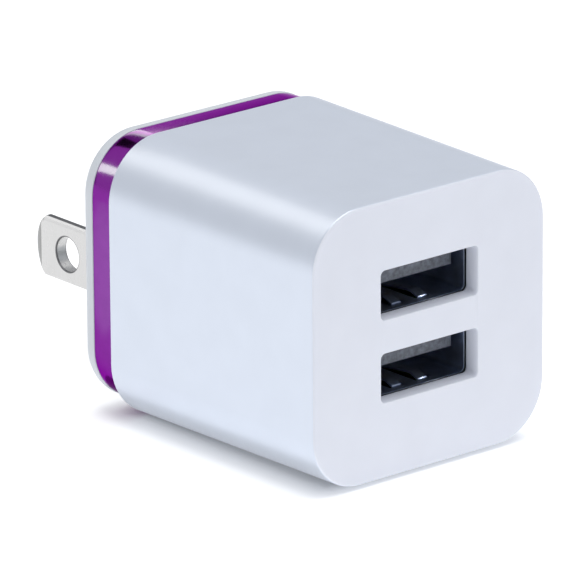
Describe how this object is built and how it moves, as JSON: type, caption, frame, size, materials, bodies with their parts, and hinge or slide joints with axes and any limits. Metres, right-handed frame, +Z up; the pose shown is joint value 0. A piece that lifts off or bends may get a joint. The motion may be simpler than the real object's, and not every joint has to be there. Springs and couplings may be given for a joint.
{
  "type": "usb wall charger",
  "caption": "Rounded cube wall charger with flat fixed blades at the back, USB type A ports in front and a coloured ring.",
  "frame": {"origin": "on the rear cover's outer face, the plane that meets the wall outlet, where the housing's long axis meets it", "axes": "+Y out of that face along the blades, +Z up, +X to the right when looking along +Y; the USB ports face -Y"},
  "size_m": [0.0312, 0.0545, 0.0296],
  "materials": {
    "housing_plastic": "satin, silver-white",
    "ring_chrome": "mirror-bright purple plating",
    "cover_plastic": "smooth, warm white",
    "blade_nickel": "nickel plated, finely brushed",
    "spring_bronze": "satin",
    "board_laminate": "solder mask, satin",
    "barrier_sheet": "matte",
    "port_steel": "tin plated, dull",
    "port_plastic": "matte",
    "contact_gold": "gold flash",
    "capacitor_sleeve": "shrink sleeve, gloss",
    "tinned_wire": "tinned",
    "ferrite": "matte",
    "bobbin_plastic": "matte",
    "copper_wire": "enamelled",
    "yellow_tape": "satin",
    "blue_ceramic": "dipped, gloss",
    "resistor_ceramic": "lacquered",
    "package_epoxy": "matte",
    "chip_ceramic": "satin"
  },
  "bodies": {
    "root": {"main_housing": "housing_plastic", "accent_ring": "ring_chrome", "rear_cover": "cover_plastic", "blade_left": "blade_nickel", "blade_right": "blade_nickel", "blade_spring_left": "spring_bronze", "blade_spring_right": "spring_bronze", "main_board": "board_laminate", "usb_board": "board_laminate", "isolation_barrier": "barrier_sheet", "usb_shell_upper": "port_steel", "usb_shell_lower": "port_steel", "usb_insulator_upper": "port_plastic", "usb_insulator_lower": "port_plastic", "usb_contacts_upper": "contact_gold", "usb_contacts_lower": "contact_gold", "input_capacitor_upper": "capacitor_sleeve", "input_capacitor_lower": "capacitor_sleeve", "input_capacitor_leads": "tinned_wire", "output_capacitor_left": "capacitor_sleeve", "output_capacitor_right": "capacitor_sleeve", "output_capacitor_leads": "tinned_wire", "transformer_core_left": "ferrite", "transformer_core_right": "ferrite", "transformer_bobbin": "bobbin_plastic", "transformer_pins": "tinned_wire", "transformer_winding": "copper_wire", "transformer_tape": "yellow_tape", "y_capacitor": "blue_ceramic", "fusible_resistor": "resistor_ceramic", "choke_core": "ferrite", "choke_winding": "copper_wire", "power_controller": "package_epoxy", "bridge_rectifier": "package_epoxy", "output_rectifier": "package_epoxy", "chip_parts": "chip_ceramic"}
  },
  "joints": []
}
